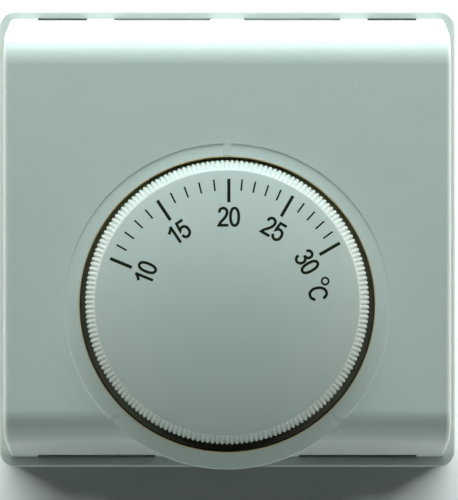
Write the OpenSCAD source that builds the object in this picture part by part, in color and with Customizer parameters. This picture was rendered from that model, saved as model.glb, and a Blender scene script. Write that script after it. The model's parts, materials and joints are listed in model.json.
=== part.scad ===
// Room thermostat for a wall: a square base tray, a front cover with rolled shoulders, a setting dial in a
// round collar, and behind it a capsule, a lever, a range spring and a switch.
// Drawn lying on its back and then stood up: "out" is the distance from the wall, "up" is up the wall.

/* [Wall base] */
// Side of the square base tray
base_side = 84; // [84:1:88]
// Depth of the base tray off the wall
base_h = 9.5; // [9:0.5:10.5]
// Corner radius of the base tray
base_corner = 3; // [2:0.5:4]
// Distance between the two wall screws
fixing_span = 60; // [58:0.5:62]
// Width of a wall screw slot
slot_w = 4.2; // [3.8:0.1:4.6]
// End-to-end length of a wall screw slot
slot_len = 7.4; // [6:0.1:8]
// Width of the cable entry in the floor
cable_w = 24; // [18:1:26]
// Height of the cable entry in the floor
cable_h = 10.5; // [8:0.5:10.5]

/* [Front cover] */
// Width of the cover
cover_w = 80.2; // [79:0.1:80.6]
// Height of the cover along the wall
cover_l = 80.7; // [79.5:0.1:81]
// Distance of the cover's middle above the middle of the base
cover_up = 0.2; // [0:0.1:0.3]
// Distance from the wall to the cover's flat face
face_z = 30; // [30:0.5:32]
// Wall thickness of the cover
cover_t = 2; // [1.6:0.1:2.2]
// Radius of the rolled edge at the top and bottom of the cover
shoulder_r = 6.5; // [5:0.5:7]
// Slope of the top and bottom walls, in degrees
shoulder_draft = 11.5; // [9:0.5:12]
// Depth of the air vents' notches in the cover's edge
vent_h = 2.4; // [2:0.2:3]

/* [Collar and dial] */
// Distance of the dial's axis below the middle of the base
dial_low = 11.4; // [11.2:0.1:11.6]
// Distance of the collar hole's centre below the middle of the base
hole_low = 11.8; // [11.6:0.1:12]
// Distance of the collar rim's centre below the middle of the base
rim_low = 12.2; // [12:0.1:12.3]
// Radius of the collar's hole
collar_hole_r = 26.4; // [26.2:0.1:26.6]
// Outer radius of the collar at the face
collar_r = 29.1; // [28.8:0.05:29.2]
// Outer radius of the collar's boss at the base
boss_r = 29.5; // [29.3:0.1:29.6]
// Depth of the collar below the face
collar_sink = 0.2; // [0.1:0.1:0.6]
// Width of the index mark
index_w = 1.5; // [1:0.1:2]
// Outer radius of the dial
knob_r = 25.4; // [25:0.1:25.5]
// Radius of the dial's face inside its gripping edge
knob_face_r = 23.6; // [23:0.1:24]
// Distance from the wall to the middle of the dial's face
knob_z = 36.4; // [35.5:0.1:37]
// Height of the dial's crown over its edge
knob_crown = 2.6; // [1.5:0.1:3]

/* [Mechanism] */
// Radius of the sensing capsule
capsule_r = 12.5; // [11:0.5:12.5]
// Height of the sensing capsule with its button
capsule_h = 3.75; // [3.5:0.05:4]
// Free space between the lever and the setting nut
spring_h = 4; // [3.8:0.1:4.2]
// Radius of the dial spindle
spindle_r = 2; // [1.8:0.1:2]
// Distance from the lever's pivot to the capsule's axis
pivot_arm = 15; // [14.6:0.1:15]
// Distance from the capsule's axis to the switch plunger
plunger_arm = 25; // [24.5:0.1:25.5]

/* [Hidden] */
$fn = 72;
eps = 0.01;             // how far a cutting tool runs past the face that it cuts
wire_gap = 0.05;        // gap between pieces that press on each other across a joint
run_gap = 0.06;         // radial clearance of a running fit

// heights out of the wall, stacked from the floor of the base
floor_t = 2.2;
foot_h = 2;
sheet_t = 1.2;
plate_z = floor_t + foot_h;
plate_top = plate_z + sheet_t;
lever_t = 1;
lever_z = plate_top + capsule_h + wire_gap;
lever_top = lever_z + lever_t;
nut_z = lever_top + spring_h;
nut_t = 1.6;
nut_travel = 0.6;
collar_z = nut_z + nut_t + nut_travel + 0.4;
collar_t = 0.6;
bush_z = collar_z + collar_t + 0.2;
bridge_z = bush_z + 2.2;
bridge_top = bridge_z + sheet_t;
bush_flange_t = 0.9;
washer_t = 0.3;
clip_t = 0.5;
well_z = 22.5;
well_t = 1.5;
well_top = well_z + well_t;
well_wall = 1.6;
skirt_z = well_top + 1;
knob_skin = 1.7;
knob_edge_z = knob_z - knob_crown;
grip_drop = 2.2;        // depth of the bevelled gripping edge
hub_r = 4.4;
spindle_top_h = 7.4;     // length of the spindle's D-shaped end in the dial
bush_r = 3.4;
spindle_hole_r = 5.6;   // hole for the spindle in the floor of the collar
cover_screw_len = 11;

// places on the wall plane
dial_y = -dial_low;
hole_y = -hole_low;
rim_y = -rim_low;
base_wall = 3.7;
lip_t = 1.2;
lip_h = 2.5;
lip_half_l = 30;
vent_lip = 0.05;         // how far a vent's notch runs past the foot of the cover
vent_reach = 4;          // length of a vent's notch inwards
vent_sink = 1.2;         // depth of a vent's notch in the rim of the base
screw_y = hole_y - 19.5;
pillar_r = 3;
cover_screw_r = 1.6;
frame_half_w = 17;
frame_half_l = 16.2;
foot_x = 14;
foot_y = 13;
foot_r = 2.6;
small_screw_r = 1;
bridge_half_w = 8;
bridge_screw_y = 13.5;
stop_r = 15;            // radius of the dial's stop lug and of the two pegs
stop_w = 3;
peg_r = 1.2;
turn_low = 72;          // degrees from the set point to the cold end of the travel
turn_high = 64;         // degrees from the set point to the warm end of the travel
stop_room = 10.6;       // degrees between the middle of the lug and the middle of a peg at a stop
peg_angles = [-90 + turn_high + stop_room, -90 - turn_low - stop_room];
plunger_y = dial_y - 4.2;
plunger_r = 1.2;
pivot_z = lever_z + lever_t / 2;
pin_r = 1;
spring_r = 4.4;
spring_wire_r = 0.35;
spring_turns = 3;
resistor_x = -23.5;

// switch
switch_x = [19.5, 35.5];
switch_y = [-23, -7.5];
switch_floor_z = 2.9;
switch_wall = 1;
switch_cavity_z = 3.7;
lid_z = 7;
lid_t = 1;
blade_z = 5.6;
blade_t = 0.25;
blade_post_x = 33;
blade_half_w = 1.8;
blade_pin_r = 0.35;
blade_eye_r = 0.75;
blade_axis_z = blade_z + blade_t / 2;
fixed_x = 21.7;
contact_r = 0.9;
contact_head_r = 1.1;
contact_room = 0.05;    // radial play of the contact and the post in the housing's floor
plunger_flange_r = 1.9;
plunger_nose = 0.15;    // height of the plunger's nose, which keeps its flange clear of the tilting blade
rivet_r = 0.7;
rivet_spots = [[switch_x[0] + 2, switch_y[0] + 2], [switch_x[1] - 2, switch_y[0] + 2]];

// terminals
block_half_w = 25;
block_y = [24.5, 36.5];
block_top = 12.2;
terminal_step = 12;
terminal_xs = [for (i = [-1.5 : 1.5]) i * terminal_step];
pocket_w = 8.4;
pocket_front = 2;       // wall of a terminal's pocket on the side of the wires
pocket_back = 1.6;
pocket_floor_z = floor_t + 2;
wire_z = 7;             // height of the wire holes in the terminals
clamp_screw_in = 6.2;   // distance of a terminal's screw from the front of the block
resistor_z = floor_t + 2.4;
strip_t = 0.6;
strip_w = 2.4;
earth_at = [-31, 17];

// stands what is drawn lying on its back up against the wall
module stand_up() {
    rotate([90, 0, 0]) children();
}

module rounded_slab(w, l, r, h) {
    linear_extrude(h) {
        union() {
            square([w - 2 * r, l], center = true);
            square([w, l - 2 * r], center = true);
            for (sx = [-1, 1], sy = [-1, 1])
                translate([sx * (w / 2 - r), sy * (l / 2 - r)]) circle(r);
        }
    }
}

module slot_cut(len, w, h) {
    linear_extrude(h) {
        union() {
            square([len - w, w], center = true);
            for (s = [-1, 1]) translate([s * (len - w) / 2, 0]) circle(w / 2);
        }
    }
}

module box(low, high) {
    translate(low) cube(high - low);
}

module ring(r_in, r_out, h) {
    difference() {
        cylinder(h = h, r = r_out);
        translate([0, 0, -eps]) cylinder(h = h + 2 * eps, r = r_in);
    }
}

// slotted screw: z = 0 is under the head, the shank goes down
module screw(r, len, head_r, head_h) {
    difference() {
        union() {
            translate([0, 0, -len]) cylinder(h = len + eps, r = r);
            cylinder(h = head_h, r = head_r);
        }
        translate([-head_r - 1, -0.3, head_h * 0.5]) cube([2 * head_r + 2, 0.6, head_h]);
    }
}

// tube along a list of points, one closed mesh
function unit(v) = v / norm(v);
function heading(p, i) = unit(p[min(i + 1, len(p) - 1)] - p[max(i - 1, 0)]);
function side_of(t) = unit(cross(t, abs(t[2]) < 0.9 ? [0, 0, 1] : [1, 0, 0]));
module swept_tube(path, r, sides = 8) {
    rings = [for (i = [0 : len(path) - 1])
        let (t = heading(path, i), u = side_of(t), v = cross(t, u))
            for (k = [0 : sides - 1]) path[i] + r * (u * cos(360 * k / sides) + v * sin(360 * k / sides))];
    last = (len(path) - 1) * sides;
    walls = [for (i = [0 : len(path) - 2], k = [0 : sides - 1])
        let (a = i * sides + k, b = i * sides + (k + 1) % sides) each [[a, b, b + sides], [a, b + sides, a + sides]]];
    near = [for (k = [0 : sides - 1]) k];
    far = [for (k = [sides - 1 : -1 : 0]) last + k];
    polyhedron(points = rings, faces = concat([for (f = walls) [f[2], f[1], f[0]]], [near], [far]));
}

// side view of the cover: flat face, a rolled edge at each end, then walls that slope out to the base
function rolled(face_half, r, top, draft, steps) =
    [for (i = [0 : steps]) let (a = (90 - draft) * (1 - i / steps))
        [face_half + r * sin(a), top - r + r * cos(a)]];
module cover_block(w, bottom, top, r) {
    face_half = cover_l / 2 - shoulder_r * cos(shoulder_draft)
        - (face_z - shoulder_r + shoulder_r * sin(shoulder_draft) - base_h) * tan(shoulder_draft);
    right = rolled(face_half, r, top, shoulder_draft, 12);
    foot = right[0][0] + (right[0][1] - bottom) * tan(shoulder_draft);
    left = [for (i = [len(right) - 1 : -1 : 0]) [-right[i][0], right[i][1]]];
    translate([0, cover_up, 0]) rotate([90, 0, 90])
        linear_extrude(w, center = true)
            polygon(concat([[foot, bottom]], right, left, [[-foot, bottom]]));
}

module base_plate() {
    lip_x = cover_w / 2 - cover_t - 0.2;
    color("ivory") stand_up() difference() {
        union() {
            difference() {
                rounded_slab(base_side, base_side, base_corner, base_h);
                translate([0, 0, floor_t])
                    rounded_slab(base_side - 2 * base_wall, base_side - 2 * base_wall, 1.5, base_h);
            }
            for (s = [-1, 1])
                box([s * lip_x - (s > 0 ? lip_t : 0), -lip_half_l, floor_t],
                    [s * lip_x + (s > 0 ? 0 : lip_t), lip_half_l, base_h + lip_h]);
            for (sx = [-1, 1], sy = [-1, 1])
                translate([sx * foot_x, dial_y + sy * foot_y, floor_t - eps]) cylinder(h = foot_h + eps, r = foot_r);
            translate([0, screw_y, floor_t - eps]) cylinder(h = well_z - floor_t - 0.1, r = pillar_r);
        }
        for (s = [-1, 1])
            translate([s * fixing_span / 2, 0, -eps]) slot_cut(slot_len, slot_w, floor_t + 2 * eps);
        translate([0, 16.5, -eps]) rounded_slab(cable_w, cable_h, 2, floor_t + 2 * eps);
        for (sx = [-1, 1], sy = [-1, 1])
            translate([sx * foot_x, dial_y + sy * foot_y, floor_t - 1.4]) cylinder(h = 10, r = small_screw_r);
        translate([0, screw_y, well_z - cover_screw_len]) cylinder(h = cover_screw_len + 1, r = cover_screw_r);
        vent_cuts();
    }
}

// one notch of a vent: through the cover's wall, and down into the rim of the base under it
module vent_cut(from_x, to_x, side) {
    edge = cover_l / 2 + vent_lip;
    translate([0, cover_up, 0])
        box([from_x, side > 0 ? edge - vent_reach : -edge, base_h - vent_sink],
            [to_x, side > 0 ? edge : vent_reach - edge, base_h + vent_h]);
}

module vent_cuts() {
    for (v = [[-34.8, -25.8], [-20.8, -3.1], [3.1, 20.8], [25.8, 34.8]]) vent_cut(v[0], v[1], 1);
    for (v = [[-34.8, -13.2], [13.2, 34.8]]) vent_cut(v[0], v[1], -1);
}

module front_cover() {
    color("ivory") stand_up() difference() {
        union() {
            difference() {
                union() {
                    cover_block(cover_w, base_h, face_z, shoulder_r);
                    translate([0, rim_y, base_h])
                        cylinder(h = face_z - collar_sink - base_h, r1 = boss_r, r2 = collar_r);
                }
                cover_block(cover_w - 2 * cover_t, base_h - 1, face_z - cover_t, shoulder_r - cover_t);
            }
            translate([0, hole_y, well_z])
                cylinder(h = face_z - collar_sink - well_z, r = collar_hole_r + well_wall);
        }
        translate([0, hole_y, well_top]) cylinder(h = face_z, r = collar_hole_r);
        difference() {
            translate([0, rim_y, face_z - collar_sink]) cylinder(h = 2, r = collar_r);
            box([-index_w / 2, hole_y + collar_hole_r + 0.3, face_z - 1], [index_w / 2, rim_y + 31, face_z]);
        }
        translate([0, dial_y, well_z - eps]) cylinder(h = well_t + 2 * eps, r = spindle_hole_r);
        translate([0, screw_y, well_z - eps]) cylinder(h = well_t + 2 * eps, r = cover_screw_r + 0.2);
        for (a = peg_angles)
            translate([0, dial_y, 0]) rotate(a) translate([stop_r, 0, well_z - eps]) cylinder(h = 3, r = peg_r);
        vent_cuts();
    }
}

module cover_screw() {
    color("silver") stand_up() translate([0, screw_y, well_top]) screw(cover_screw_r, cover_screw_len, 2.8, 1.6);
}

module limit_pegs() {
    color("dimgray") stand_up() for (a = peg_angles)
        translate([0, dial_y, 0]) rotate(a) translate([stop_r, 0, well_z]) {
            cylinder(h = 5, r = peg_r);
        }
}

// crown of the dial as an arc from its edge to its middle
function crown(r, edge, rise, steps) =
    let (ball = (r * r + rise * rise) / (2 * rise))
        [for (i = [0 : steps]) let (x = r * (1 - i / steps)) [x, edge + rise - ball + sqrt(ball * ball - x * x)]];
module setting_knob() {
    top = crown(knob_face_r, knob_edge_z, knob_crown, 12);
    color("ivory") stand_up() translate([0, dial_y, 0]) {
        difference() {
            union() {
                difference() {
                    rotate_extrude() polygon(concat(
                        [[0, skirt_z], [knob_r, skirt_z], [knob_r, knob_edge_z - grip_drop]], top));
                    translate([0, 0, skirt_z - eps])
                        cylinder(h = knob_edge_z - knob_skin - skirt_z, r = knob_r - knob_skin);
                }
                translate([0, 0, skirt_z + 0.3]) cylinder(h = knob_edge_z - skirt_z - 1, r = hub_r);
                box([-stop_w / 2, -stop_r - stop_w / 2, skirt_z + 0.2],
                    [stop_w / 2, -stop_r + stop_w / 2, knob_edge_z - 1]);
                for (a = [0, 120, 240])
                    rotate(a + 90) box([4, -0.6, knob_edge_z - 4], [knob_r - 1.5, 0.6, knob_edge_z - 1]);
            }
            spindle_top_cut();
        }
    }
}

// D-shaped upper end of the spindle, and the bore that it fills
module spindle_top_cut() {
    translate([0, 0, skirt_z]) intersection() {
        cylinder(h = spindle_top_h, r = spindle_r);
        translate([-spindle_r - 1, -spindle_r - 1, -1]) cube([2 * spindle_r + 2, 2 * spindle_r + 0.4, 10]);
    }
}

module knob_clip() {
    color("silver") stand_up() translate([0, dial_y, skirt_z + 1]) difference() {
        ring(hub_r, hub_r + 0.6, 1.4);
        box([-1.2, 0, -1], [1.2, 6, 3]);
    }
}

module dial_spindle() {
    color("lightgray") stand_up() translate([0, dial_y, 0]) {
        union() {
            translate([0, 0, nut_z - 0.2]) cylinder(h = skirt_z - nut_z + 0.2 + eps, r = spindle_r);
            spindle_top_cut();
            translate([0, 0, collar_z]) cylinder(h = collar_t, r = 3.3);
        }
    }
}

module spindle_bush() {
    color("goldenrod") stand_up() translate([0, dial_y, bush_z]) difference() {
        union() {
            cylinder(h = bridge_top - bush_z + eps, r = bush_r);
            translate([0, 0, bridge_top - bush_z]) cylinder(h = bush_flange_t, r = 5);
        }
        translate([0, 0, -eps]) cylinder(h = 10, r = spindle_r + run_gap);
    }
}

module friction_washer() {
    color("silver") stand_up() translate([0, dial_y, bridge_top + bush_flange_t + wire_gap])
        ring(spindle_r, 4.4, washer_t);
}

module spindle_clip() {
    color("dimgray") stand_up() translate([0, dial_y, bridge_top + bush_flange_t + wire_gap + washer_t])
        difference() {
            ring(spindle_r, 3.8, clip_t);
            box([-1.1, 0, -1], [1.1, 5, 2]);
        }
}

module setting_nut() {
    color("goldenrod") stand_up() translate([0, dial_y, nut_z]) difference() {
        union() {
            box([-5, -frame_half_l + sheet_t + 0.5, 0], [5, frame_half_l - sheet_t - 0.5, nut_t]);
            box([-1.6, -frame_half_l, 0], [1.6, frame_half_l, nut_t]);
        }
        translate([0, 0, -eps]) cylinder(h = nut_t + 2 * eps, r = spindle_r + run_gap);
    }
}

module range_spring() {
    rise = spring_h - 2 * spring_wire_r - 2 * wire_gap;
    steps = 20 * spring_turns;
    path = [for (i = [0 : steps]) let (a = 360 * spring_turns * i / steps)
        [spring_r * cos(a), spring_r * sin(a), lever_top + wire_gap + spring_wire_r + rise * i / steps]];
    color("silver") stand_up() translate([0, dial_y, 0]) swept_tube(path, spring_wire_r);
}

module mechanism_frame() {
    wall = [[-18, plate_z], [17, plate_z], [17, 8], [bridge_half_w, 12], [bridge_half_w, bridge_z],
            [-bridge_half_w, bridge_z], [-bridge_half_w, 14], [-18, 12.5]];
    color("silver") stand_up() translate([0, dial_y, 0]) difference() {
        union() {
            box([-frame_half_w, -frame_half_l, plate_z], [frame_half_w, frame_half_l, plate_top]);
            for (y = [-frame_half_l, frame_half_l - sheet_t])
                translate([0, y + sheet_t, 0]) rotate([90, 0, 0]) linear_extrude(sheet_t) polygon(wall);
            for (s = [-1, 1])
                box([-bridge_half_w, s > 0 ? 11 : -frame_half_l, bridge_z - sheet_t],
                    [bridge_half_w, s > 0 ? frame_half_l : -11, bridge_z]);
        }
        translate([0, 0, plate_z - eps]) cylinder(h = sheet_t + 2 * eps, r = spindle_r);
        for (sx = [-1, 1], sy = [-1, 1])
            translate([sx * foot_x, sy * foot_y, plate_z - eps]) cylinder(h = 2, r = small_screw_r);
        for (s = [-1, 1])
            translate([0, s * bridge_screw_y, bridge_z - 2]) cylinder(h = 3, r = small_screw_r);
        box([-2, -frame_half_l - 1, nut_z - nut_travel - 0.4], [2, frame_half_l + 1, nut_z + nut_t + 1]);
        translate([-pivot_arm, 0, pivot_z]) rotate([90, 0, 0]) cylinder(h = 40, r = pin_r, center = true);
    }
}

module spindle_bridge() {
    color("silver") stand_up() translate([0, dial_y, bridge_z]) difference() {
        box([-bridge_half_w, -frame_half_l, 0], [bridge_half_w, frame_half_l, sheet_t]);
        translate([0, 0, -eps]) cylinder(h = 2, r = bush_r);
        for (s = [-1, 1]) translate([0, s * bridge_screw_y, -eps]) cylinder(h = 2, r = small_screw_r);
    }
}

module bridge_screws() {
    color("gray") stand_up() for (s = [-1, 1])
        translate([0, dial_y + s * bridge_screw_y, bridge_top]) screw(small_screw_r, 3.2, 1.9, 1);
}

module frame_screws() {
    color("gray") stand_up() for (sx = [-1, 1], sy = [-1, 1])
        translate([sx * foot_x, dial_y + sy * foot_y, plate_top]) screw(small_screw_r, 4, 1.9, 1);
}

// two dished halves with rings, brazed at the rim, with a round button in the middle
module sensing_capsule() {
    h = capsule_h - 0.8;
    waves = 4;
    half = [for (i = [0 : 4 * waves])
        let (t = i / (4 * waves)) [capsule_r - 1 - t * (capsule_r - 4), h / 2 * (0.82 + 0.18 * cos(360 * waves * t))]];
    upper = [for (p = half) [p[0], h / 2 + p[1]]];
    color("khaki") stand_up() translate([0, dial_y, plate_top]) rotate_extrude() polygon(concat(
        [[0, 0], [3, 0], [3, 0.3]],
        [for (i = [len(half) - 1 : -1 : 0]) [half[i][0], h / 2 - half[i][1] * 0.9 + 0.1]],
        [[capsule_r, h / 2 - 0.3], [capsule_r, h / 2 + 0.3]],
        upper, [[2.5, h], [2.5, capsule_h], [0, capsule_h]]));
}

module capsule_stud() {
    color("goldenrod") stand_up() translate([0, dial_y, floor_t + 0.2])
        cylinder(h = plate_top - floor_t - 0.2, r = spindle_r);
}

module capsule_nut() {
    color("goldenrod") stand_up() translate([0, dial_y, floor_t + 0.5]) difference() {
        cylinder(h = plate_z - floor_t - 0.5, r = 4, $fn = 6);
        translate([0, 0, -eps]) cylinder(h = 3, r = spindle_r, $fn = 72);
    }
}

module main_lever() {
    outline = [[-pivot_arm, -8], [8, -8], [12, -8], [plunger_arm + 3.5, -8], [plunger_arm + 3.5, -1],
               [14, -1], [9, 4], [9, 8], [-pivot_arm, 8]];
    color("lightsteelblue") stand_up() translate([0, dial_y, 0]) difference() {
        union() {
            translate([0, 0, lever_z]) linear_extrude(lever_t) polygon(outline);
            translate([-pivot_arm, 0, pivot_z]) rotate([90, 0, 0]) cylinder(h = 16, r = 1.9, center = true);
        }
        translate([-pivot_arm, 0, pivot_z]) rotate([90, 0, 0])
            cylinder(h = 20, r = pin_r + run_gap, center = true);
        translate([plunger_arm, plunger_y - dial_y, lever_z - eps]) cylinder(h = 2, r = plunger_r);
    }
}

module lever_pin() {
    color("silver") stand_up() translate([-pivot_arm, dial_y, pivot_z]) rotate([90, 0, 0])
        cylinder(h = 2 * frame_half_l + 2.4, r = pin_r, center = true);
}

module lever_pin_clips() {
    color("dimgray") stand_up() for (s = [-1, 1])
        translate([-pivot_arm, dial_y + s * (frame_half_l + 0.3) + 0.3, pivot_z]) rotate([90, 0, 0])
            ring(pin_r, 2.1, 0.6);
}

module calibration_screw() {
    color("goldenrod") stand_up() translate([plunger_arm, plunger_y, lever_top + 0.5])
        screw(plunger_r, lever_t + 0.6, 2.1, 1.1);
}

module switch_housing() {
    color("saddlebrown") stand_up() difference() {
        box([switch_x[0], switch_y[0], switch_floor_z], [switch_x[1], switch_y[1], lid_z]);
        box([switch_x[0] + switch_wall, switch_y[0] + switch_wall, switch_cavity_z],
            [switch_x[1] - switch_wall, switch_y[1] - switch_wall, lid_z + 1]);
        for (x = [fixed_x, blade_post_x])
            translate([x, plunger_y, 0]) cylinder(h = 10, r = contact_r + contact_room);
    }
}

module switch_lid() {
    color("darkred") stand_up() difference() {
        box([switch_x[0], switch_y[0], lid_z], [switch_x[1], switch_y[1], lid_z + lid_t]);
        translate([plunger_arm, plunger_y, lid_z - eps]) cylinder(h = 2, r = plunger_r + run_gap);
        for (p = rivet_spots) translate([p[0], p[1], lid_z - eps]) cylinder(h = 2, r = rivet_r);
    }
}

module switch_rivets() {
    color("goldenrod") stand_up() for (p = rivet_spots)
        translate([p[0], p[1], switch_cavity_z]) {
            union() {
                cylinder(h = lid_z + lid_t - switch_cavity_z, r = rivet_r);
                translate([0, 0, lid_z + lid_t - switch_cavity_z]) cylinder(h = 0.4, r = 1.3);
            }
        }
}

module switch_plunger() {
    z = blade_z + blade_t + wire_gap;
    color("white") stand_up() translate([plunger_arm, plunger_y, z]) union() {
        cylinder(h = plunger_nose + eps, r = plunger_r / 2);
        translate([0, 0, plunger_nose]) cylinder(h = 0.35, r = plunger_flange_r);
        translate([0, 0, plunger_nose]) cylinder(h = lever_z - 0.1 - wire_gap - z - plunger_nose, r = plunger_r);
    }
}

// spring blade with a rolled eye at one end and the contact button at the other
module moving_blade() {
    color("peru") stand_up() difference() {
        union() {
            box([fixed_x - 1.2, plunger_y - blade_half_w, blade_z],
                [blade_post_x, plunger_y + blade_half_w, blade_z + blade_t]);
            translate([fixed_x, plunger_y, blade_z - 0.6]) cylinder(h = 0.6 + eps, r = contact_head_r);
            translate([blade_post_x, plunger_y, blade_axis_z]) rotate([90, 0, 0])
                cylinder(h = 2 * blade_half_w, r = blade_eye_r, center = true);
        }
        translate([blade_post_x, plunger_y, blade_axis_z]) rotate([90, 0, 0])
            cylinder(h = 3 * blade_half_w, r = blade_pin_r + run_gap, center = true);
    }
}

module fixed_contact() {
    color("silver") stand_up() translate([fixed_x, plunger_y, floor_t + strip_t]) union() {
        cylinder(h = switch_cavity_z - floor_t - strip_t + eps, r = contact_r);
        translate([0, 0, switch_cavity_z - floor_t - strip_t]) cylinder(h = 0.4, r = contact_head_r);
    }
}

// riveted post with a yoke and a pin, on which the blade turns
module blade_post() {
    low = floor_t + strip_t;
    cheek_y = blade_half_w + 0.2;
    cheek_t = 0.6;
    color("goldenrod") stand_up() translate([blade_post_x, plunger_y, 0]) union() {
        translate([0, 0, low]) cylinder(h = switch_cavity_z - low + 0.2, r = contact_r);
        box([-1.1, -cheek_y - cheek_t, switch_cavity_z], [1.1, cheek_y + cheek_t, switch_cavity_z + 0.5]);
        for (s = [-1, 1])
            box([-1.1, s > 0 ? cheek_y : -cheek_y - cheek_t, switch_cavity_z],
                [1.1, s > 0 ? cheek_y + cheek_t : -cheek_y, blade_axis_z + 0.8]);
        translate([0, 0, blade_axis_z]) rotate([90, 0, 0])
            cylinder(h = 2 * cheek_y + cheek_t, r = blade_pin_r, center = true);
    }
}

module live_strip() {
    run = [[17, 26.8], [36.6, 26.8], [36.6, plunger_y - strip_w / 2], [blade_post_x - strip_w / 2,
           plunger_y - strip_w / 2], [blade_post_x - strip_w / 2, plunger_y + strip_w / 2],
           [36.6 - strip_w, plunger_y + strip_w / 2], [36.6 - strip_w, 29.2 - strip_w - strip_w],
           [17, 29.2 - strip_w - strip_w]];
    color("peru") stand_up() translate([0, 0, floor_t]) linear_extrude(strip_t) polygon(run);
}

module load_strip() {
    right = fixed_x + strip_w / 2;
    run = [[4.8, 22.2], [right - strip_w, 22.2], [right - strip_w, plunger_y - strip_w / 2],
           [right, plunger_y - strip_w / 2], [right, 22.2 + 1.8], [7.2, 22.2 + 1.8], [7.2, 24.4], [4.8, 24.4]];
    color("peru") stand_up() translate([0, 0, floor_t]) linear_extrude(strip_t) polygon(run);
}

module terminal_block() {
    color("whitesmoke") stand_up() difference() {
        box([-block_half_w, block_y[0], floor_t + strip_t], [block_half_w, block_y[1], block_top]);
        for (x = terminal_xs) {
            box([x - pocket_w / 2, block_y[0] + pocket_front, pocket_floor_z],
                [x + pocket_w / 2, block_y[1] - pocket_back, block_top + 1]);
            translate([x, block_y[0] - 1, wire_z]) rotate([-90, 0, 0]) cylinder(h = 4, r = 2.2);
        }
    }
}

module terminal_clamps() {
    color("goldenrod") stand_up() for (x = terminal_xs)
        difference() {
            box([x - pocket_w / 2, block_y[0] + pocket_front, pocket_floor_z],
                [x + pocket_w / 2, block_y[1] - pocket_back, block_top - 1.6]);
            translate([x, block_y[0], wire_z]) rotate([-90, 0, 0]) cylinder(h = 7, r = 1.9);
            translate([x, block_y[0] + clamp_screw_in, wire_z]) cylinder(h = 10, r = 1.6);
        }
}

module terminal_screws() {
    color("silver") stand_up() for (x = terminal_xs)
        translate([x, block_y[0] + clamp_screw_in, block_top - 1.6]) screw(1.6, 2.2, 2.7, 1.4);
}

module earth_terminal() {
    color("goldenrod") stand_up() translate([earth_at[0], earth_at[1], floor_t]) difference() {
        box([-3.4, -3.4, 0], [3.4, 3.4, 6]);
        translate([0, 0, 2.4]) rotate([90, 0, 0]) cylinder(h = 10, r = 1.6, center = true);
        translate([0, 0, 2.4]) cylinder(h = 6, r = 1.6);
    }
}

module earth_screw() {
    color("silver") stand_up() translate([earth_at[0], earth_at[1], floor_t + 6]) screw(1.6, 1.8, 2.7, 1.4);
}

module heater_resistor() {
    color("tan") stand_up() translate([resistor_x, dial_y, resistor_z]) rotate([90, 0, 0]) union() {
        cylinder(h = 7.4, r = 1.5, center = true);
        for (s = [-1, 1]) translate([0, 0, s * 3.2]) cylinder(h = 1.8, r = 1.75, center = true);
    }
}

// bare wires from the resistor: up to the neutral lead, and round below the frame to the load strip
module resistor_wires() {
    z = resistor_z;
    low_z = floor_t + strip_t + 0.35;
    up_route = [[resistor_x, dial_y + 4.1, z], [resistor_x, dial_y + 9, z], [resistor_x, dial_y + 13.8, z]];
    down_route = [[resistor_x, dial_y - 4.1, z], [resistor_x, -20, z], [-23.2, -26, z], [-21, -30.5, z],
                  [-16, -34, z], [-8, -35.6, z], [8, -35.6, z], [14, -34, z], [17.4, -30, low_z + 0.6],
                  [17.6, -24, low_z], [17.6, -16, low_z], [17.6, -8, low_z], [18.6, -5, low_z],
                  [fixed_x, -4, low_z]];
    color("silver") stand_up() {
        swept_tube(up_route, 0.3);
        swept_tube(down_route, 0.3);
    }
}

// insulated lead from the resistor's wire up to the neutral terminal
module neutral_lead() {
    z = resistor_z;
    y0 = dial_y + 13.8;
    route = [[resistor_x, y0, z], [resistor_x, y0 + 4, z], [-23.2, y0 + 8, z + 0.3], [-21.8, y0 + 12, z + 1],
             [-19.8, y0 + 15.6, z + 1.8], [-18.4, y0 + 19, 6.9], [terminal_xs[0], y0 + 23, wire_z]];
    color("royalblue") stand_up() swept_tube(route, 0.9);
}

base_plate();
front_cover();
cover_screw();
limit_pegs();
setting_knob();
knob_clip();
dial_spindle();
spindle_bush();
friction_washer();
spindle_clip();
setting_nut();
range_spring();
mechanism_frame();
spindle_bridge();
bridge_screws();
frame_screws();
sensing_capsule();
capsule_stud();
capsule_nut();
main_lever();
lever_pin();
lever_pin_clips();
calibration_screw();
switch_housing();
switch_lid();
switch_rivets();
switch_plunger();
moving_blade();
fixed_contact();
blade_post();
live_strip();
load_strip();
terminal_block();
terminal_clamps();
terminal_screws();
earth_terminal();
earth_screw();
heater_resistor();
resistor_wires();
neutral_lead();
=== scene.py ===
import json
import math

import bmesh
import bpy
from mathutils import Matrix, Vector


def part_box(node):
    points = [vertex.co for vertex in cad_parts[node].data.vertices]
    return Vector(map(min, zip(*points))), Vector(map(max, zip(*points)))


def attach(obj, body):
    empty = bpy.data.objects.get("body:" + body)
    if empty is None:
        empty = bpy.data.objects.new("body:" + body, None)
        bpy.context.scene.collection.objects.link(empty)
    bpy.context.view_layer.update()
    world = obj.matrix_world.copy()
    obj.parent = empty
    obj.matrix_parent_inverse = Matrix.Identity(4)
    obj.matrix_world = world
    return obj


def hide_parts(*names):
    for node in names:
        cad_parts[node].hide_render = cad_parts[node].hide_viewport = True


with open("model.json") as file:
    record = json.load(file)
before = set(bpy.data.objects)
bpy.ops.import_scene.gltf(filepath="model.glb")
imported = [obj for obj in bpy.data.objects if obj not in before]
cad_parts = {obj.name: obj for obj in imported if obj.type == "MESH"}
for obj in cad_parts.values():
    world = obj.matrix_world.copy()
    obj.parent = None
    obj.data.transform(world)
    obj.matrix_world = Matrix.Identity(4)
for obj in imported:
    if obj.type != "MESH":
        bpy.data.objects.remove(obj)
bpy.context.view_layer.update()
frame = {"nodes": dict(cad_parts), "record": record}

# Helpers take millimetres as (x, up, out): along the wall, up the wall and out of the wall.
MM = 0.001


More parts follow.
